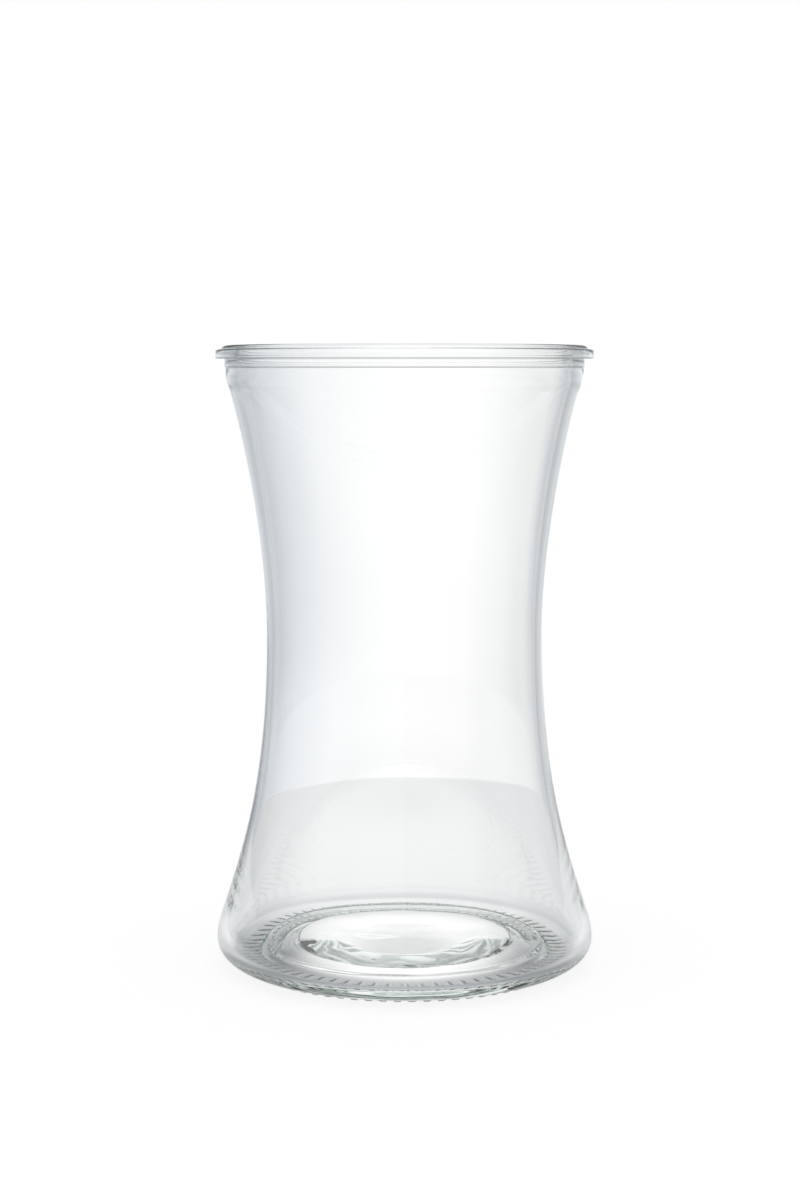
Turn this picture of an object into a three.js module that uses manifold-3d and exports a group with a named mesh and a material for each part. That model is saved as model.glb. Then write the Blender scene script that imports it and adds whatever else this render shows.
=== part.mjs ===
// Hourglass vase: one piece of clear moulded glass with a waisted body, a flanged rim,
// an underside pushed up inside a bearing ring of knurl bars, and a floor with a raised shoulder.
// Millimetres, +Z up. The origin is on the axis, in the plane that the vase stands on.
import * as THREE from "three";
import { mergeVertices } from "three/addons/utils/BufferGeometryUtils.js";
import Module from "manifold-3d";

// Body
const HEIGHT = 200;
const HEEL_RADIUS = 61; // widest, just above the bearing ring
const HEEL_HEIGHT = 8.7; // where it is widest
const HEEL_ROLL = 20.6; // radius that turns the heel into the wall
const HEEL_FLARE = 18.4; // degrees from upright at the foot of the wall
const WAIST_RADIUS = 44.4;
const WAIST_HEIGHT = 108.9;
const WAIST_REACH_DOWN = 45.8; // how far the waist's upright line pulls on the curve below it
const WAIST_REACH_UP = 31;
const HEEL_REACH = 25.6;
const NECK_REACH = 8.1;
const NECK_FLARE = 19.6; // degrees from upright where the wall meets the neck roll
const NECK_ROLL = 12.9; // radius that turns the flare upright under the neck band

// Mouth
const NECK_RADIUS = 57.4;
const NECK_BAND = 2.65; // height of the straight band under the flange
const PARTING_STEP = 0.3; // the body is this much smaller than the neck band
const PARTING_LAND = 1.2; // upright stretch of body under the band
const FLANGE_WIDTH = 2.85;
const RIM_THICKNESS = 4.3;
const RIM_EDGE_ROUND = 0.4; // at the flange's lower edge
const CROWN_WIDTH = 1.8; // round at the flange's upper edge, across and down
const CROWN_DROP = 0.6;
const LIP_RISE = 1.2; // how far the lip of the mouth stands above the flange
const LIP_WIDTH = 2; // from the lip's crest out to the flange
const MOUTH_ROUND = 1;

// Walls
const WALL_AT_NECK = 3.6;
const WALL_AT_WAIST = 2.5;
const WALL_AT_FOOT = 4.2;
const WALL_TAPER = 3.8; // degrees by which the wall thins upwards from its foot

// Bearing ring and underside
const HEEL_ROUND_WIDTH = 11; // from the widest part of the heel in to the flat of the ring
const RING_WIDTH = 2.9; // flat of the bearing ring
const RING_EDGE_RISE = 1.8;
const RING_EDGE_RUN = 2.6;
const CONE_WIDTH = 12.1; // from the ring in to the mould mark, sloping up
const CONE_TOP_HEIGHT = 4.1;
const BAFFLE_STEP = 0.3; // mould mark where the cone ends
const SAG_WIDTH = 18; // from the mould mark in to the flat middle, sloping down
const SAG = 1.8; // how far the flat middle hangs below the mould mark

// Floor
const CORNER_WIDTH = 2.2; // from the foot of the wall in to the gutter
const CORNER_ROUND = 3.5;
const CORNER_BULGE = 2.2; // how far the corner's hollow runs out past the foot of the wall
const CORNER_DROP = 6.7;
const GUTTER_HEIGHT = 5.7; // lowest ring of the floor, above the bearing plane
const SHOULDER_SETBACK = 3.6; // crest of the floor's raised shoulder, inside the ring
const SHOULDER_RUN = 2.2; // slope between the gutter and the crest
const SHOULDER_RISE = 1.3;
const DISH_WIDTH = 9; // from the crest in to the flat middle of the floor
const DISH_DEPTH = 0.4;

// Knurl bars
const KNURL_COUNT = 72;
const KNURL_HEIGHT = 0.6;
const KNURL_WIDTH = 2.6;
const KNURL_ROUND = 0.8; // width of the rounded shoulder on each side of a bar
const KNURL_LEAD = 0.9; // slope at the inner end of a bar
const KNURL_REACH = 3; // how far a bar runs up the heel past the flat of the ring
const KNURL_CLEARANCE = 0.15; // how much deeper than its own height a bar is sunk at its outer end

const SAME_POINT = 1e-4; // points nearer than this are one

const point = (r, z) => new THREE.Vector2(r, z);
const radians = THREE.MathUtils.degToRad;

// Points of an elliptical arc about (r, z), angles in degrees from the outward direction.
function arc(r, z, radiusR, radiusZ, from, to, steps) {
  const clockwise = to < from;
  const curve = new THREE.EllipseCurve(r, z, radiusR, radiusZ, radians(from), radians(to), clockwise);
  return curve.getPoints(steps);
}

// A curve from a to b that leaves a along the line to handleA and arrives at b along the line from handleB.
function sweep(a, handleA, handleB, b, steps) {
  return new THREE.CubicBezierCurve(a, handleA, handleB, b).getPoints(steps);
}

// Where two stretches of the outline meet, their shared point is kept once.
function joined(points) {
  return points.filter((p, i) => i === 0 || p.distanceTo(points[i - 1]) > SAME_POINT);
}

const flareAt = (degrees) => Math.tan(radians(degrees));

const ringFlatRadius = HEEL_RADIUS - HEEL_ROUND_WIDTH;
const ringInnerRadius = ringFlatRadius - RING_WIDTH;
const coneInnerRadius = ringInnerRadius - CONE_WIDTH;
const crestRadius = ringInnerRadius - SHOULDER_SETBACK;
const rimRadius = NECK_RADIUS + FLANGE_WIDTH;
const lipFootRadius = rimRadius - CROWN_WIDTH;
const flangeTop = HEIGHT - LIP_RISE;
const neckBandBottom = HEIGHT - RIM_THICKNESS - NECK_BAND;
const bodyTopRadius = NECK_RADIUS - PARTING_STEP;
const neckRollHeight = neckBandBottom - PARTING_LAND;

// Where the wall curve begins above the heel, and where it ends under the neck.
const wallFoot = point(
  HEEL_RADIUS - HEEL_ROLL * (1 - Math.cos(radians(HEEL_FLARE))),
  HEEL_HEIGHT + HEEL_ROLL * Math.sin(radians(HEEL_FLARE)),
);
const wallHead = point(
  bodyTopRadius - NECK_ROLL * (1 - Math.cos(radians(NECK_FLARE))),
  neckRollHeight - NECK_ROLL * Math.sin(radians(NECK_FLARE)),
);

// The wall from foot to head, moved inwards by a thickness at its foot, its waist and its head,
// and made more upright at its foot by the degrees of taper.
function wallCurve(atFoot, taper, atWaist, atHead, steps) {
  const foot = point(wallFoot.x - atFoot, wallFoot.y);
  const waist = point(WAIST_RADIUS - atWaist, WAIST_HEIGHT);
  const head = point(wallHead.x - atHead, wallHead.y);
  const lower = sweep(
    foot,
    point(foot.x - HEEL_REACH * flareAt(HEEL_FLARE - taper), foot.y + HEEL_REACH),
    point(waist.x, waist.y - WAIST_REACH_DOWN),
    waist,
    steps,
  );
  const upper = sweep(
    waist,
    point(waist.x, waist.y + WAIST_REACH_UP),
    point(head.x - NECK_REACH * flareAt(NECK_FLARE), head.y - NECK_REACH),
    head,
    steps,
  );
  return joined([...lower, ...upper]);
}

// Underside from the axis out to the bearing ring.
function underside() {
  const markHeight = CONE_TOP_HEIGHT + BAFFLE_STEP;
  return [
    point(0, markHeight - SAG),
    point(coneInnerRadius - SAG_WIDTH, markHeight - SAG),
    point(coneInnerRadius - BAFFLE_STEP, markHeight),
    point(coneInnerRadius, CONE_TOP_HEIGHT),
    point(ringInnerRadius - RING_EDGE_RUN, KNURL_HEIGHT + RING_EDGE_RISE),
    point(ringInnerRadius, KNURL_HEIGHT),
  ];
}

// Bearing ring between the bars, then the heel up to the foot of the wall.
function ringAndHeel() {
  return [
    point(ringFlatRadius, KNURL_HEIGHT),
    ...arc(ringFlatRadius, HEEL_HEIGHT, HEEL_ROUND_WIDTH, HEEL_HEIGHT - KNURL_HEIGHT, -90, 0, 5),
    ...arc(HEEL_RADIUS - HEEL_ROLL, HEEL_HEIGHT, HEEL_ROLL, HEEL_ROLL, 0, HEEL_FLARE, 1),
  ];
}

// Neck roll, parting step, neck band, flange, lip and mouth.
function neckAndRim() {
  const flangeBottom = HEIGHT - RIM_THICKNESS;
  const mouthRadius = NECK_RADIUS - WALL_AT_NECK;
  return [
    ...arc(bodyTopRadius - NECK_ROLL, neckRollHeight, NECK_ROLL, NECK_ROLL, -NECK_FLARE, 0, 2),
    point(bodyTopRadius, neckBandBottom),
    point(NECK_RADIUS, neckBandBottom),
    point(NECK_RADIUS, flangeBottom),
    ...arc(rimRadius - RIM_EDGE_ROUND, flangeBottom + RIM_EDGE_ROUND, RIM_EDGE_ROUND, RIM_EDGE_ROUND, -90, 0, 1),
    ...arc(lipFootRadius, flangeTop - CROWN_DROP, CROWN_WIDTH, CROWN_DROP, 0, 90, 1),
    ...arc(lipFootRadius - LIP_WIDTH, flangeTop, LIP_WIDTH, LIP_RISE, 0, 90, 2),
    ...arc(mouthRadius + MOUTH_ROUND, HEIGHT - MOUTH_ROUND, MOUTH_ROUND, MOUTH_ROUND, 90, 180, 1),
    point(mouthRadius, neckBandBottom),
  ];
}

// Inside of the wall, from the neck down to the corner of the floor.
function inside() {
  return wallCurve(WALL_AT_FOOT, WALL_TAPER, WALL_AT_WAIST, WALL_AT_NECK, 4).reverse();
}

// Floor from the inside corner to the axis.
function floor() {
  const foot = point(wallFoot.x - WALL_AT_FOOT, wallFoot.y);
  const gutter = point(foot.x - CORNER_WIDTH, GUTTER_HEIGHT);
  const slopeFoot = point(crestRadius + SHOULDER_RUN, GUTTER_HEIGHT);
  const crest = point(crestRadius, GUTTER_HEIGHT + SHOULDER_RISE);
  const slopeMiddle = crestRadius + SHOULDER_RUN / 2;
  const middle = crest.y - DISH_DEPTH;
  return [
    ...sweep(
      foot,
      point(foot.x + CORNER_BULGE, foot.y - CORNER_DROP),
      point(gutter.x + CORNER_ROUND, GUTTER_HEIGHT),
      gutter,
      4,
    ),
    ...sweep(slopeFoot, point(slopeMiddle, slopeFoot.y), point(slopeMiddle, crest.y), crest, 3),
    point(crestRadius - DISH_WIDTH, middle),
    point(0, middle),
  ];
}

// The vase without its bars, turned about the vertical axis with one facet for each bar.
function turnedBody() {
  const profile = joined([
    ...underside(),
    ...ringAndHeel(),
    ...wallCurve(0, 0, 0, 0, 5),
    ...neckAndRim(),
    ...inside(),
    ...floor(),
  ]);
  const body = new THREE.LatheGeometry(profile, KNURL_COUNT);
  return body.rotateX(Math.PI / 2);
}

// Height of the heel's underside at a distance past the flat of the ring.
function heelHeightAt(reach) {
  const drop = Math.sqrt(1 - (reach / HEEL_ROUND_WIDTH) ** 2);
  return HEEL_HEIGHT - (HEEL_HEIGHT - KNURL_HEIGHT) * drop;
}

// One bar: the ring's own section, proud of it by KNURL_HEIGHT and rounded at both shoulders.
function knurlBar() {
  const spine = new THREE.Shape([
    point(ringInnerRadius, KNURL_HEIGHT + RING_EDGE_RISE),
    point(ringInnerRadius + KNURL_LEAD, KNURL_HEIGHT),
    point(ringFlatRadius, KNURL_HEIGHT),
    point(ringFlatRadius + KNURL_REACH, heelHeightAt(KNURL_REACH) + KNURL_HEIGHT + KNURL_CLEARANCE),
  ]);
  const bar = new THREE.ExtrudeGeometry(spine, {
    depth: KNURL_WIDTH - 2 * KNURL_ROUND,
    bevelThickness: KNURL_ROUND,
    bevelSize: KNURL_HEIGHT,
    bevelSegments: 2,
  });
  bar.translate(0, 0, KNURL_ROUND - KNURL_WIDTH / 2);
  return bar.rotateX(Math.PI / 2);
}

const wasm = await Module();
wasm.setup();

// A closed geometry as a solid that can be joined to others.
function solidFrom(geometry) {
  const bare = geometry.clone();
  bare.deleteAttribute("normal");
  bare.deleteAttribute("uv");
  const merged = mergeVertices(bare, SAME_POINT);
  return new wasm.Manifold(
    new wasm.Mesh({
      numProp: 3,
      vertProperties: merged.attributes.position.array,
      triVerts: new Uint32Array(merged.index.array),
    }),
  );
}

// A solid back as a geometry with flat-shaded faces.
function geometryFrom(solid) {
  const mesh = solid.getMesh();
  const geometry = new THREE.BufferGeometry();
  geometry.setAttribute("position", new THREE.BufferAttribute(mesh.vertProperties, 3));
  geometry.setIndex(new THREE.BufferAttribute(mesh.triVerts, 1));
  const flat = geometry.toNonIndexed();
  flat.computeVertexNormals();
  return flat;
}

function vaseGeometry() {
  const pitch = (2 * Math.PI) / KNURL_COUNT;
  const bar = knurlBar();
  let vase = solidFrom(turnedBody());
  for (let i = 0; i < KNURL_COUNT; i++) {
    vase = vase.add(solidFrom(bar.clone().rotateZ((i + 0.5) * pitch)));
  }
  return geometryFrom(vase);
}

const clearGlass = new THREE.MeshStandardMaterial({
  color: 0xe6ecea,
  roughness: 0.03,
  metalness: 0,
  transparent: true,
  opacity: 0.35,
});

const vase = new THREE.Mesh(vaseGeometry(), clearGlass);
vase.name = "glass_vase";

const model = new THREE.Group();
model.add(vase);

export default model;
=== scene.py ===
import math

import bmesh
import bpy
from mathutils import Matrix, Vector, noise


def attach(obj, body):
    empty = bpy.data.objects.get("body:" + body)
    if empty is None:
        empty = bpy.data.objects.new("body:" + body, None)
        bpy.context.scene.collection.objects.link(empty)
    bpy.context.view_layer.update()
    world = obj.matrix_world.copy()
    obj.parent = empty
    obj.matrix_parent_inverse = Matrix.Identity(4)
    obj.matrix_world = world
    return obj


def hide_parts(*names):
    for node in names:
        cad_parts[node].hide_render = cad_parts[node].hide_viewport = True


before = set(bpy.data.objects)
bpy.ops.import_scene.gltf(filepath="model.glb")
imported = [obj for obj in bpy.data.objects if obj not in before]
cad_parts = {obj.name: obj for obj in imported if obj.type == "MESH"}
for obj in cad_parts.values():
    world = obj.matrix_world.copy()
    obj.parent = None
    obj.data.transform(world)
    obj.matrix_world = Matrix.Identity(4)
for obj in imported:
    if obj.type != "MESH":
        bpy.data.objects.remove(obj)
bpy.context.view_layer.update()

MM = 0.001

# Body of the vase, in millimetres and degrees, as are all sizes down to the glass
HEIGHT = 200
HEEL_RADIUS = 61
HEEL_HEIGHT = 8.7
HEEL_ROLL = 20.6
HEEL_FLARE = 18.4
WAIST_RADIUS = 44.4
WAIST_HEIGHT = 108.9
WAIST_REACH_DOWN = 45.8
WAIST_REACH_UP = 31
HEEL_REACH = 25.6
NECK_REACH = 8.1
NECK_FLARE = 19.6
NECK_ROLL = 12.9

# Mouth
NECK_RADIUS = 57.4
NECK_BAND = 2.65
PARTING_STEP = 0.3
PARTING_LAND = 1.2
PARTING_ROUND = 0.3
FLANGE_WIDTH = 2.85
RIM_THICKNESS = 4.3
CROWN_WIDTH = 1.8
CROWN_DROP = 0.6
LIP_RISE = 1.2
LIP_WIDTH = 2
RIM_EDGE_ROUND = 0.4
RIM_FILLET = 0.3
MOUTH_ROUND = 1

# Walls, and how far and how fast the inside of the wall wanders from its true shape
WALL_AT_NECK = 3.6
WALL_AT_WAIST = 2.5
WALL_AT_FOOT = 4.2
WALL_TAPER = 3.8
WALL_WANDER = 0.25
WANDER_AROUND = 28
WANDER_UPWARDS = 14
WANDER_START = 15

# Bearing ring and underside
HEEL_ROUND_WIDTH = 11
RING_WIDTH = 2.9
RING_EDGE_RISE = 1.8
RING_EDGE_RUN = 2.6
RING_EDGE_ROUND = 0.3
RING_FLAT_POINTS = (1, 2.2)
CONE_WIDTH = 12.1
CONE_TOP_HEIGHT = 4.1
CONE_TOP_EASE = 0.2
CONE_FOOT_EASE = 0.6
BAFFLE_STEP = 0.3
SAG_WIDTH = 18
SAG = 1.8
SAG_ROUND = SAG_WIDTH / 6

# Floor, and how far and how fast it waves
CORNER_WIDTH = 2.2
CORNER_ROUND = 3.5
CORNER_BULGE = 2.2
CORNER_DROP = 6.7
GUTTER_HEIGHT = 5.7
SHOULDER_SETBACK = 3.6
SHOULDER_RUN = 2.2
SHOULDER_RISE = 1.3
DISH_WIDTH = 9
DISH_DEPTH = 0.4
DISH_ROUND = 3
FLOOR_WANDER = 0.22
FLOOR_WANDER_ACROSS = 90
FLOOR_WANDER_UPWARDS = 400
FACING_UP = 0.5

# Knurl bars
KNURL_COUNT = 72
KNURL_HEIGHT = 0.6
KNURL_REACH = 3
KNURL_LEAD = 0.9
KNURL_TAIL = 1.5
KNURL_CEILING = 3
KNURL_FULLNESS = 1.35

# Fineness of the mesh. A small round is two flats that meet a third of its size from its corner.
COLUMNS_PER_KNURL = 6
FLOOR_RINGS = 12
UNDERSIDE_RINGS = 6
SMALL_ROUND_SHARE = 3
CLOSEST_POINTS = 0.02
MERGE_DISTANCE = 0.002
SHARP_ANGLE = 40

# Glass, in metres: its faint green, its ripple, and the wear on the crests that it stands on
BENDING_OF_LIGHT = 1.52
GLASS_TINT = (0.80, 0.93, 0.86, 1)
GLASS_TINT_DENSITY = 9.0
RIPPLE_SCALE = 30.0
RIPPLE_DETAIL = 1.0
RIPPLE_ROUGHNESS = 0.4
RIPPLE_STRENGTH = 0.2
RIPPLE_HEIGHT = 0.0003
WORN_HEIGHT = 0.0015
WORN_ROUGHNESS = 0.3

# Table, in metres. It lies a hair below the vase, so that the two don't share a plane. The share of plain
# white that is seen in it grows from its least, near the vase, to all of it at the table's edge.
TABLE_RADIUS = 0.318
TABLE_EDGE = 0.004
TABLE_CORNERS = 96
TABLE_DROP = 0.0002
TABLE_COLOUR = (0.94, 0.94, 0.955, 1)
TABLE_ROUGHNESS = 0.9
TABLE_WHITE_FROM = 0.1
TABLE_WHITE_LEAST = 0.8
TABLE_WHITE_STRENGTH = 1.05

# Camera, in metres, degrees and millimetres of lens
CAMERA_PLACE = (-0.0015, -0.737, 0.1927)
CAMERA_TILT = 84.25
SENSOR = 36
LENS = 68.94

# How often a ray may pass through glass or bounce off it
PASSES_THROUGH_GLASS = 24
BOUNCES_OFF_GLASS = 16

WHITE = (1.0, 1.0, 1.0, 1.0)
# What a cool grey adds to its red, green and blue
COOL_TINT = (-0.06, -0.01, 0.05)

# Brightness of the studio round the vase: degrees from straight behind it, level, coolness.
CARDS_LEFT = (
    (0, 1.0, 0),
    (4, 0.94, 0.3),
    (9, 0.87, 0.7),
    (16, 0.84, 0.8),
    (21, 0.71, 1),
    (29, 0.60, 1),
    (39, 0.56, 1),
    (44, 0.47, 1),
    (49, 0.30, 1),
    (56, 0.22, 1),
    (66, 0.29, 1),
    (77, 0.42, 1),
    (90, 0.60, 0.7),
    (105, 0.85, 0.3),
    (118, 1.08, 0),
    (135, 1.06, 0),
    (155, 1.16, 0),
    (180, 1.15, 0),
)
CARDS_RIGHT = (
    (0, 1.0, 0),
    (12, 1.0, 0),
    (16, 0.90, 0.3),
    (20, 0.64, 0.7),
    (27, 0.72, 0.7),
    (34, 0.56, 0.7),
    (41, 0.54, 0.7),
    (46, 0.58, 0.7),
    (55, 0.45, 0.7),
    (66, 0.52, 0.7),
    (80, 0.46, 0.7),
    (95, 0.60, 0.4),
    (118, 0.62, 0.2),
    (132, 0.93, 0),
    (150, 1.0, 0),
    (180, 1.04, 0),
)
# How the brightness changes with height: degrees above or below the horizon, back left, back right,
# front, straight behind.
CARD_HEIGHTS = (
    (-90, 1.0, 1.0, 1.0, 1.0),
    (-12, 1.05, 0.95, 1.0, 1.0),
    (-7.6, 1.07, 0.94, 1.0, 1.0),
    (-6.6, 0.95, 0.97, 1.0, 1.0),
    (-5.0, 0.92, 1.0, 1.0, 1.0),
    (-3.2, 0.95, 1.04, 1.0, 1.0),
    (-1.5, 1.03, 1.06, 1.0, 1.0),
    (2, 1.0, 1.0, 1.0, 1.0),
    (6, 0.95, 0.95, 1.1, 1.0),
    (10, 0.3, 0.4, 1.2, 0.45),
    (24, 0.3, 0.4, 1.2, 0.45),
    (40, 0.4, 0.5, 1.2, 0.7),
    (90, 1.0, 1.0, 1.0, 1.0),
)
# How fast those changes set in to either side of straight behind, and where the front takes over.
CENTRE_FADE = 4
FRONT_FADE = -2
FRONT_START = 0.5
# The white ceiling: degrees above the horizon, share of it over the cards.
CEILING = (
    (18, 0.0),
    (42, 0.95),
    (90, 0.95),
)
# Painted light and painted shadow on the table, an emission that rays through the glass see in place of its
# lit shading, with dark bands of painted shadow round and under the vase's ring: metres from the middle,
# level in front, level to either side, and level at the back, where the painted light comes from.
TABLE_PAINTED_LIGHT_AND_SHADOW = (
    (0.0, 0.86, 0.86, 0.86),
    (0.010, 0.88, 0.88, 0.90),
    (0.020, 1.2, 1.05, 1.2),
    (0.030, 1.25, 0.75, 1.2),
    (0.036, 1.25, 0.26, 1.1),
    (0.041, 0.95, 0.16, 0.9),
    (0.046, 0.62, 0.18, 0.8),
    (0.050, 0.60, 0.38, 0.8),
    (0.060, 0.36, 0.30, 0.8),
    (0.066, 0.55, 0.55, 0.65),
    (0.080, 0.62, 0.62, 0.72),
    (0.095, 0.76, 0.76, 0.82),
    (0.115, 0.88, 0.88, 0.88),
    (0.160, 0.87, 0.87, 0.87),
    (0.300, 0.83, 0.83, 0.83),
)
# How much cooler the table's painted light and shadow is made where it is darker
PAINTED_SHADOW_COOLNESS = 1.2
# Where the back's levels set in, as a slope over the table and a start, and how far to either side of the
# middle the front's levels reach
BACK_FROM = (3, 25, 0)
BACK_START = 0.4
SIDE_REACH = 0.04

# Sockets of a Mix node that mixes colours
MIX_FACTOR = 0
MIX_FIRST = 6
MIX_SECOND = 7
MIX_RESULT = 2

ring_flat_radius = HEEL_RADIUS - HEEL_ROUND_WIDTH
ring_inner_radius = ring_flat_radius - RING_WIDTH
cone_inner_radius = ring_inner_radius - CONE_WIDTH
crest_radius = ring_inner_radius - SHOULDER_SETBACK
rim_radius = NECK_RADIUS + FLANGE_WIDTH
flange_bottom = HEIGHT - RIM_THICKNESS
neck_band_bottom = flange_bottom - NECK_BAND
body_top_radius = NECK_RADIUS - PARTING_STEP
neck_roll_height = neck_band_bottom - PARTING_LAND
wall_foot = (
    HEEL_RADIUS - HEEL_ROLL * (1 - math.cos(math.radians(HEEL_FLARE))),
    HEEL_HEIGHT + HEEL_ROLL * math.sin(math.radians(HEEL_FLARE)),
)
wall_head = (
    body_top_radius - NECK_ROLL * (1 - math.cos(math.radians(NECK_FLARE))),
    neck_roll_height - NECK_ROLL * math.sin(math.radians(NECK_FLARE)),
)


def flare_at(degrees):
    """How far a wall at this angle leans out for each millimetre of height."""
    return math.tan(math.radians(degrees))


def arc(centre, radius_r, radius_z, start, end, steps):
    """Points of an elliptical arc in the profile, angles in degrees from the outward direction."""
    points = []
    for i in range(steps + 1):
        angle = math.radians(start + (end - start) * i / steps)
        points.append((centre[0] + radius_r * math.cos(angle), centre[1] + radius_z * math.sin(angle)))
    return points


def sweep(a, handle_a, handle_b, b, steps):
    """Points of a cubic curve in the profile."""
    points = []
    for i in range(steps + 1):
        u = i / steps
        v = 1 - u
        weights = (v**3, 3 * v * v * u, 3 * v * u * u, u**3)
        pulls = list(zip(weights, (a, handle_a, handle_b, b)))
        points.append((sum(w * p[0] for w, p in pulls), sum(w * p[1] for w, p in pulls)))
    return points


def wall(at_foot, taper, at_waist, at_head, steps):
    """The waisted wall from foot to head, set in from the outside by the thickness at each place."""
    foot = (wall_foot[0] - at_foot, wall_foot[1])
    waist = (WAIST_RADIUS - at_waist, WAIST_HEIGHT)
    head = (wall_head[0] - at_head, wall_head[1])
    lower = sweep(
        foot,
        (foot[0] - HEEL_REACH * flare_at(HEEL_FLARE - taper), foot[1] + HEEL_REACH),
        (waist[0], waist[1] - WAIST_REACH_DOWN),
        waist,
        steps,
    )
    upper = sweep(
        waist,
        (waist[0], waist[1] + WAIST_REACH_UP),
        (head[0] - NECK_REACH * flare_at(NECK_FLARE), head[1] - NECK_REACH),
        head,
        steps,
    )
    return lower + upper


def underside():
    """From the axis out over the sagged middle and the cone, down to the inner edge of the ring."""
    mark_height = CONE_TOP_HEIGHT + BAFFLE_STEP
    middle = mark_height - SAG
    disc_radius = cone_inner_radius - SAG_WIDTH
    shoulder = (disc_radius + SAG_ROUND, middle)
    mark = (cone_inner_radius - BAFFLE_STEP, mark_height)
    foot = (ring_inner_radius - RING_EDGE_RUN, KNURL_HEIGHT + RING_EDGE_RISE)
    edge = ring_inner_radius
    bulge = [(disc_radius * i / UNDERSIDE_RINGS, middle) for i in range(UNDERSIDE_RINGS)]
    bulge += sweep((disc_radius, middle), shoulder, shoulder, mark, steps=10)
    cone = sweep(
        (cone_inner_radius, CONE_TOP_HEIGHT),
        (cone_inner_radius + CONE_WIDTH / 3, CONE_TOP_HEIGHT - CONE_TOP_EASE),
        (foot[0] - CONE_WIDTH / 3, foot[1] + CONE_FOOT_EASE),
        foot,
        steps=8,
    )
    corner = [
        (edge - RING_EDGE_ROUND, KNURL_HEIGHT + RING_EDGE_ROUND),
        (edge, KNURL_HEIGHT + RING_EDGE_ROUND / SMALL_ROUND_SHARE),
        (edge + RING_EDGE_ROUND, KNURL_HEIGHT),
    ]
    return bulge + cone + corner


def ring_and_heel():
    """The flat under the ring, the rounded heel and the roll from the heel into the wall."""
    flat = [(ring_inner_radius + across, KNURL_HEIGHT) for across in RING_FLAT_POINTS]
    heel_centre = (ring_flat_radius, HEEL_HEIGHT)
    heel = arc(heel_centre, HEEL_ROUND_WIDTH, HEEL_HEIGHT - KNURL_HEIGHT, -90, 0, steps=20)
    roll_centre = (HEEL_RADIUS - HEEL_ROLL, HEEL_HEIGHT)
    roll = arc(roll_centre, HEEL_ROLL, HEEL_ROLL, 0, HEEL_FLARE, steps=5)
    return flat + heel + roll


def neck_and_rim():
    """Up the neck, over the parting step, the flange and the lip, and down inside the mouth."""
    mouth_radius = NECK_RADIUS - WALL_AT_NECK
    roll_centre = (body_top_radius - NECK_ROLL, neck_roll_height)
    points = arc(roll_centre, NECK_ROLL, NECK_ROLL, -NECK_FLARE, 0, steps=5)
    points += sweep(
        (body_top_radius, neck_band_bottom - PARTING_ROUND),
        (body_top_radius, neck_band_bottom),
        (NECK_RADIUS, neck_band_bottom),
        (NECK_RADIUS, neck_band_bottom + PARTING_ROUND),
        steps=8,
    )
    points += [
        (NECK_RADIUS, flange_bottom - RIM_FILLET),
        (NECK_RADIUS + RIM_FILLET / SMALL_ROUND_SHARE, flange_bottom - RIM_FILLET / SMALL_ROUND_SHARE),
        (NECK_RADIUS + RIM_FILLET, flange_bottom),
    ]
    edge = (rim_radius - RIM_EDGE_ROUND, flange_bottom + RIM_EDGE_ROUND)
    points += arc(edge, RIM_EDGE_ROUND, RIM_EDGE_ROUND, -90, 0, steps=4)
    flange_top = HEIGHT - LIP_RISE
    lip_foot = rim_radius - CROWN_WIDTH
    points += arc((lip_foot, flange_top - CROWN_DROP), CROWN_WIDTH, CROWN_DROP, 0, 90, steps=8)
    points += arc((lip_foot - LIP_WIDTH, flange_top), LIP_WIDTH, LIP_RISE, 0, 90, steps=8)
    lip = (mouth_radius + MOUTH_ROUND, HEIGHT - MOUTH_ROUND)
    points += arc(lip, MOUTH_ROUND, MOUTH_ROUND, 90, 180, steps=7)
    return points + [(mouth_radius, neck_band_bottom)]


def floor():
    """From the foot of the wall over the corner, the gutter and the shoulder to the dished middle."""
    foot = (wall_foot[0] - WALL_AT_FOOT, wall_foot[1])
    gutter = (foot[0] - CORNER_WIDTH, GUTTER_HEIGHT)
    slope_foot = (crest_radius + SHOULDER_RUN, GUTTER_HEIGHT)
    crest = (crest_radius, GUTTER_HEIGHT + SHOULDER_RISE)
    slope_middle = crest_radius + SHOULDER_RUN / 2
    centre = crest[1] - DISH_DEPTH
    corner = sweep(
        foot,
        (foot[0] + CORNER_BULGE, foot[1] - CORNER_DROP),
        (gutter[0] + CORNER_ROUND, GUTTER_HEIGHT),
        gutter,
        steps=18,
    )
    slope = sweep(slope_foot, (slope_middle, slope_foot[1]), (slope_middle, crest[1]), crest, steps=9)
    edge = (crest_radius - DISH_WIDTH, centre)
    turn_in = (edge[0] + DISH_ROUND, centre + DISH_DEPTH / DISH_WIDTH * DISH_ROUND)
    turn_out = (edge[0] - DISH_ROUND, centre)
    dish = sweep(turn_in, edge, edge, turn_out, steps=8)
    # The two outermost rings would lie in the rounded turn of the dish.
    dish += [(edge[0] * i / FLOOR_RINGS, centre) for i in range(FLOOR_RINGS - 2, -1, -1)]
    return corner + slope + dish


def vase_outline():
    """The whole profile, from the axis on the underside round to the axis on the floor."""
    points = underside() + ring_and_heel() + wall(0, 0, 0, 0, steps=16) + neck_and_rim()
    points += wall(WALL_AT_FOOT, WALL_TAPER, WALL_AT_WAIST, WALL_AT_NECK, steps=16)[::-1] + floor()
    kept = points[:1]
    for p in points[1:]:
        if math.dist(p, kept[-1]) > CLOSEST_POINTS:
            kept.append(p)
    return kept


def eased(start, end, x):
    """Rises softly from 0 at the start to 1 at the end."""
    t = max(0.0, min(1.0, (x - start) / (end - start)))
    return t * t * (3 - 2 * t)


def raised(turns):
    """A soft wave from 0 up to 1 and back in each turn."""
    return 0.5 - 0.5 * math.cos(2 * math.pi * turns)


def unevenness(place, across, upwards):
    """Smooth noise from -1 to 1 at a place in the glass."""
    return noise.noise(Vector((place.x * across, place.y * across, place.z * upwards)))


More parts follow.
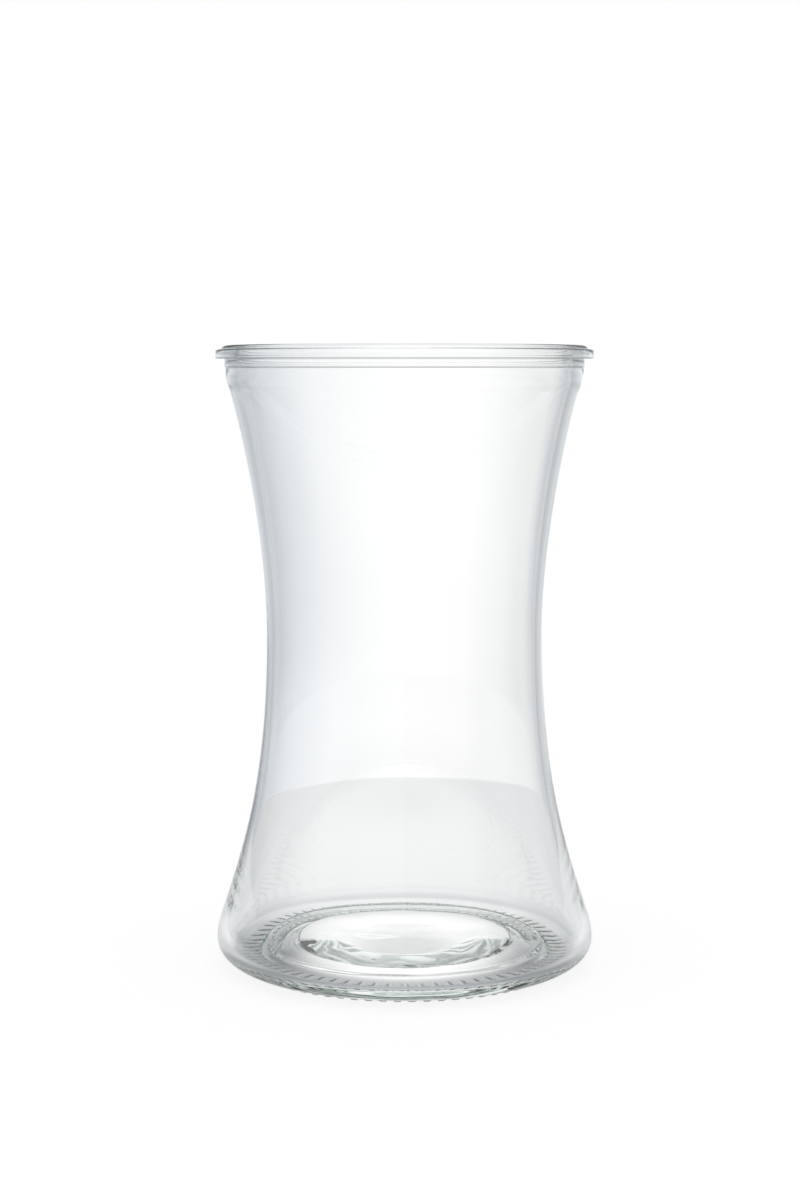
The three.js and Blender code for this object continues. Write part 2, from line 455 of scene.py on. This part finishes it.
def press_knurls(bm):
    """Lowers the underside of the bearing ring into evenly spaced rounded bars."""
    inner = ring_inner_radius - RING_EDGE_ROUND
    outer = ring_flat_radius + KNURL_REACH
    for v in bm.verts:
        r = math.hypot(v.co.x, v.co.y) / MM
        if v.co.z / MM > KNURL_CEILING or not inner < r < outer:
            continue
        lead = eased(inner, ring_inner_radius + KNURL_LEAD, r)
        tail = 1 - eased(ring_flat_radius + KNURL_TAIL, outer, r)
        bars = math.atan2(v.co.y, v.co.x) / (2 * math.pi) * KNURL_COUNT
        crest = min(1.0, KNURL_FULLNESS * raised(bars))
        v.co.z -= KNURL_HEIGHT * MM * (lead * tail) * crest


def let_wall_wander(bm):
    """Makes the inside of the wall slightly uneven, as in blown glass."""
    bm.normal_update()
    for v in bm.verts:
        height = v.co.z / MM
        faces_axis = v.normal.x * v.co.x + v.normal.y * v.co.y < 0
        if not faces_axis or not wall_foot[1] < height < neck_band_bottom:
            continue
        above_foot = eased(wall_foot[1], wall_foot[1] + WANDER_START, height)
        below_neck = 1 - eased(wall_head[1], neck_band_bottom, height)
        out = Vector((v.co.x, v.co.y, 0)).normalized()
        drift = unevenness(v.co, WANDER_AROUND, WANDER_UPWARDS)
        v.co += out * drift * WALL_WANDER * MM * (above_foot * below_neck)


def let_floor_wander(bm):
    """Gives the floor and the underside below it the slight waves of glass that cooled in a mould."""
    for v in bm.verts:
        reach = math.hypot(v.co.x, v.co.y) / MM
        limit = ring_flat_radius + KNURL_REACH if v.normal.z > FACING_UP else crest_radius
        if reach > limit or v.co.z / MM > HEEL_HEIGHT:
            continue
        free = 1 - eased(limit - DISH_WIDTH, limit, reach)
        v.co.z += unevenness(v.co, FLOOR_WANDER_ACROSS, FLOOR_WANDER_UPWARDS) * FLOOR_WANDER * MM * free


def glass_body():
    """The whole vase: its profile spun round the axis, then pressed and let wander."""
    bm = bmesh.new()
    verts = [bm.verts.new((r * MM, 0, z * MM)) for r, z in vase_outline()]
    edges = [bm.edges.new(pair) for pair in zip(verts, verts[1:])]
    bmesh.ops.spin(
        bm,
        geom=verts + edges,
        cent=(0, 0, 0),
        axis=(0, 0, 1),
        angle=2 * math.pi,
        steps=KNURL_COUNT * COLUMNS_PER_KNURL,
        use_merge=True,
    )
    bmesh.ops.remove_doubles(bm, verts=bm.verts, dist=MERGE_DISTANCE * MM)
    press_knurls(bm)
    bmesh.ops.recalc_face_normals(bm, faces=bm.faces)
    let_wall_wander(bm)
    let_floor_wander(bm)
    for face in bm.faces:
        face.smooth = True
    mesh = bpy.data.meshes.new("glass_body")
    bm.to_mesh(mesh)
    bm.free()
    mesh.set_sharp_from_angle(angle=math.radians(SHARP_ANGLE))
    body = bpy.data.objects.new("glass_body", mesh)
    bpy.context.collection.objects.link(body)
    return body


def feed(tree, socket, value):
    """Links an output to a socket, or sets the socket to a number or colour."""
    if isinstance(value, bpy.types.NodeSocket):
        tree.links.new(value, socket)
    else:
        socket.default_value = value


def node(tree, kind, **inputs):
    """A node of this kind, with its inputs set by name."""
    made = tree.nodes.new(kind)
    for name, value in inputs.items():
        made.inputs[name.replace("_", " ")].default_value = value
    return made


def colour_ramp(tree, factor, stops):
    """The colour at a factor on a ramp of places and colours."""
    ramp = tree.nodes.new("ShaderNodeValToRGB")
    elements = ramp.color_ramp.elements
    elements.remove(elements[-1])
    elements[0].position = stops[0][0]
    elements[0].color = (*stops[0][1], 1)
    for position, colour in stops[1:]:
        elements.new(position).color = (*colour, 1)
    tree.links.new(factor, ramp.inputs["Fac"])
    return ramp.outputs["Color"]


def arithmetic(tree, operation, first, second):
    """One step of arithmetic on outputs or numbers."""
    step = tree.nodes.new("ShaderNodeMath")
    step.operation = operation
    feed(tree, step.inputs[0], first)
    feed(tree, step.inputs[1], second)
    return step.outputs["Value"]


def mixed(tree, factor, first, second, way="MIX"):
    """Two colours mixed by a factor."""
    mix = tree.nodes.new("ShaderNodeMix")
    mix.data_type = "RGBA"
    mix.blend_type = way
    feed(tree, mix.inputs[MIX_FACTOR], factor)
    feed(tree, mix.inputs[MIX_FIRST], first)
    feed(tree, mix.inputs[MIX_SECOND], second)
    return mix.outputs[MIX_RESULT]


def blended(tree, factor, first, second):
    """Two finishes blended by a factor."""
    mix = tree.nodes.new("ShaderNodeMixShader")
    for socket, shader in zip(mix.inputs, (factor, first, second)):
        tree.links.new(shader, socket)
    return mix.outputs["Shader"]


def clear_glass():
    """Clear glass, faintly green in its depth, rippled on its surface and worn matt where it stands."""
    material = bpy.data.materials.new("clear_glass")
    material.use_nodes = True
    tree = material.node_tree
    link = tree.links.new
    shader = tree.nodes["Principled BSDF"]
    shader.inputs["Base Color"].default_value = WHITE
    shader.inputs["Transmission Weight"].default_value = 1
    shader.inputs["IOR"].default_value = BENDING_OF_LIGHT
    place = tree.nodes.new("ShaderNodeTexCoord")
    ripple = node(
        tree, "ShaderNodeTexNoise", Scale=RIPPLE_SCALE, Detail=RIPPLE_DETAIL, Roughness=RIPPLE_ROUGHNESS
    )
    link(place.outputs["Object"], ripple.inputs["Vector"])
    bump = node(tree, "ShaderNodeBump", Strength=RIPPLE_STRENGTH, Distance=RIPPLE_HEIGHT)
    link(ripple.outputs["Fac"], bump.inputs["Height"])
    link(bump.outputs["Normal"], shader.inputs["Normal"])
    parts = tree.nodes.new("ShaderNodeSeparateXYZ")
    link(place.outputs["Object"], parts.inputs["Vector"])
    worn = node(tree, "ShaderNodeMapRange", From_Min=WORN_HEIGHT, From_Max=0.0, To_Max=WORN_ROUGHNESS)
    link(parts.outputs["Z"], worn.inputs["Value"])
    link(worn.outputs["Result"], shader.inputs["Roughness"])
    tint = node(tree, "ShaderNodeVolumeAbsorption", Color=GLASS_TINT, Density=GLASS_TINT_DENSITY)
    link(tint.outputs["Volume"], tree.nodes["Material Output"].inputs["Volume"])
    return material


def grey(level, cool):
    """A grey of this level, turned towards blue by its coolness."""
    return tuple(level * (1 + tint * cool) for tint in COOL_TINT)


def card_stops(cards):
    """The cards as stops of a ramp from 0 straight behind the vase to 1 straight in front."""
    return [(degrees / 180, grey(level, cool)) for degrees, level, cool in cards]


def height_share(degrees):
    """Place of a height above the horizon on a scale from 0 straight down to 1 straight up."""
    return 0.5 + 0.5 * math.sin(math.radians(degrees))


def height_stops(rows, column):
    """One column of a table of heights as stops of a ramp from straight down to straight up."""
    return [(height_share(row[0]), (row[column],) * 3) for row in rows]


def studio():
    """White behind and in front of the vase, with soft grey cards between the main directions."""
    world = bpy.data.worlds.new("studio")
    bpy.context.scene.world = world
    world.use_nodes = True
    tree = world.node_tree
    background = tree.nodes["Background"]
    direction = tree.nodes.new("ShaderNodeTexCoord")
    parts = tree.nodes.new("ShaderNodeSeparateXYZ")
    tree.links.new(direction.outputs["Generated"], parts.inputs["Vector"])
    x, y, z = parts.outputs
    turn = arithmetic(tree, "DIVIDE", arithmetic(tree, "ARCTAN2", x, y), math.pi)
    left = colour_ramp(tree, arithmetic(tree, "MULTIPLY", turn, -1), card_stops(CARDS_LEFT))
    right = colour_ramp(tree, turn, card_stops(CARDS_RIGHT))
    height = arithmetic(tree, "ADD", arithmetic(tree, "MULTIPLY", z, 0.5), 0.5)
    off_centre = arithmetic(tree, "MULTIPLY", arithmetic(tree, "ABSOLUTE", x, 0), CENTRE_FADE)
    in_front = arithmetic(tree, "ADD", arithmetic(tree, "MULTIPLY", y, FRONT_FADE), FRONT_START)
    back_left, back_right, front, straight_behind = [
        colour_ramp(tree, height, height_stops(CARD_HEIGHTS, column)) for column in (1, 2, 3, 4)
    ]
    sides = []
    for card, behind in ((left, back_left), (right, back_right)):
        uneven = mixed(tree, in_front, mixed(tree, off_centre, straight_behind, behind), front)
        sides.append(mixed(tree, 1.0, card, uneven, way="MULTIPLY"))
    cards = mixed(tree, arithmetic(tree, "GREATER_THAN", x, 0), *sides)
    overhead = colour_ramp(tree, height, height_stops(CEILING, 1))
    room = mixed(tree, overhead, cards, WHITE)
    rays = tree.nodes.new("ShaderNodeLightPath")
    tree.links.new(mixed(tree, rays.outputs["Is Camera Ray"], room, WHITE), background.inputs["Color"])
    background.inputs["Strength"].default_value = 1.0


def painted_light_and_shadow_stops(column):
    """One column of the table's painted light and painted shadow as stops of a ramp from its middle to its
    edge.
    """
    stops = []
    for row in TABLE_PAINTED_LIGHT_AND_SHADOW:
        level = row[column]
        stops.append((row[0] / TABLE_RADIUS, grey(level, max(0, PAINTED_SHADOW_COOLNESS * (1 - level)))))
    return stops


def table():
    """A pale round table that fades into the white surround. It keeps the vase's shadow where it is seen
    straight on; rays through the glass see painted light and painted shadow on it instead of its shading.
    """
    bm = bmesh.new()
    bmesh.ops.create_circle(bm, cap_ends=True, radius=TABLE_RADIUS + 2 * TABLE_EDGE, segments=TABLE_CORNERS)
    bmesh.ops.translate(bm, verts=bm.verts, vec=(0, 0, -TABLE_DROP))
    mesh = bpy.data.meshes.new("table_top")
    bm.to_mesh(mesh)
    bm.free()
    top = bpy.data.objects.new("table_top", mesh)
    bpy.context.collection.objects.link(top)
    material = bpy.data.materials.new("pale_table")
    material.use_nodes = True
    tree = material.node_tree
    link = tree.links.new
    shader = tree.nodes["Principled BSDF"]
    shader.inputs["Base Color"].default_value = TABLE_COLOUR
    shader.inputs["Roughness"].default_value = TABLE_ROUGHNESS
    shader.inputs["Specular IOR Level"].default_value = 0.0
    place = tree.nodes.new("ShaderNodeTexCoord")
    reach = tree.nodes.new("ShaderNodeVectorMath")
    reach.operation = "LENGTH"
    link(place.outputs["Object"], reach.inputs[0])
    edge = node(
        tree, "ShaderNodeMapRange", From_Min=TABLE_RADIUS - TABLE_EDGE, From_Max=TABLE_RADIUS + TABLE_EDGE
    )
    link(reach.outputs["Value"], edge.inputs["Value"])
    fade = node(
        tree, "ShaderNodeMapRange", From_Min=TABLE_WHITE_FROM, From_Max=TABLE_RADIUS, To_Min=TABLE_WHITE_LEAST
    )
    link(reach.outputs["Value"], fade.inputs["Value"])
    bright = node(tree, "ShaderNodeEmission", Color=WHITE, Strength=TABLE_WHITE_STRENGTH)
    rays = tree.nodes.new("ShaderNodeLightPath")
    direct = arithmetic(tree, "MULTIPLY", fade.outputs["Result"], rays.outputs["Is Camera Ray"])
    share_out = arithmetic(tree, "DIVIDE", reach.outputs["Value"], TABLE_RADIUS)
    in_front, beside, behind = [colour_ramp(tree, share_out, painted_light_and_shadow_stops(column)) for column in (1, 2, 3)]
    backwards = tree.nodes.new("ShaderNodeVectorMath")
    backwards.operation = "DOT_PRODUCT"
    link(place.outputs["Object"], backwards.inputs[0])
    backwards.inputs[1].default_value = BACK_FROM
    back_share = arithmetic(tree, "ADD", backwards.outputs["Value"], BACK_START)
    parts = tree.nodes.new("ShaderNodeSeparateXYZ")
    link(place.outputs["Object"], parts.inputs["Vector"])
    sideways = arithmetic(tree, "ABSOLUTE", parts.outputs["X"], 0)
    side_share = arithmetic(tree, "POWER", arithmetic(tree, "DIVIDE", sideways, SIDE_REACH), 2)
    # The table as rays through the glass see it: painted light and painted shadow, an emission in rings round
    # the vase and brighter at the back, in place of the table's own lit shading.
    painted_light_and_shadow = mixed(tree, back_share, mixed(tree, side_share, in_front, beside), behind)
    through = node(tree, "ShaderNodeEmission")
    link(painted_light_and_shadow, through.inputs["Color"])
    seen = blended(tree, direct, shader.outputs["BSDF"], bright.outputs["Emission"])
    seen = blended(tree, rays.outputs["Is Transmission Ray"], seen, through.outputs["Emission"])
    nothing = tree.nodes.new("ShaderNodeBsdfTransparent")
    seen = blended(tree, edge.outputs["Result"], seen, nothing.outputs["BSDF"])
    link(seen, tree.nodes["Material Output"].inputs["Surface"])
    mesh.materials.append(material)


def camera():
    """A view of the vase from about the height of its mouth, tilted a little down."""
    lens = bpy.data.cameras.new("photo_camera")
    lens.sensor_fit = "VERTICAL"
    lens.sensor_height = SENSOR
    lens.lens = LENS
    viewer = bpy.data.objects.new("photo_camera", lens)
    bpy.context.collection.objects.link(viewer)
    tilt = Matrix.Rotation(math.radians(CAMERA_TILT), 4, "X")
    viewer.matrix_world = Matrix.Translation(Vector(CAMERA_PLACE)) @ tilt
    bpy.context.scene.camera = viewer


body = glass_body()
body.data.materials.append(clear_glass())
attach(body, "root")
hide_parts("glass_vase")

studio()
table()
camera()

scene = bpy.context.scene
scene.view_settings.view_transform = "Standard"
scene.cycles.max_bounces = PASSES_THROUGH_GLASS
scene.cycles.transmission_bounces = PASSES_THROUGH_GLASS
scene.cycles.glossy_bounces = BOUNCES_OFF_GLASS
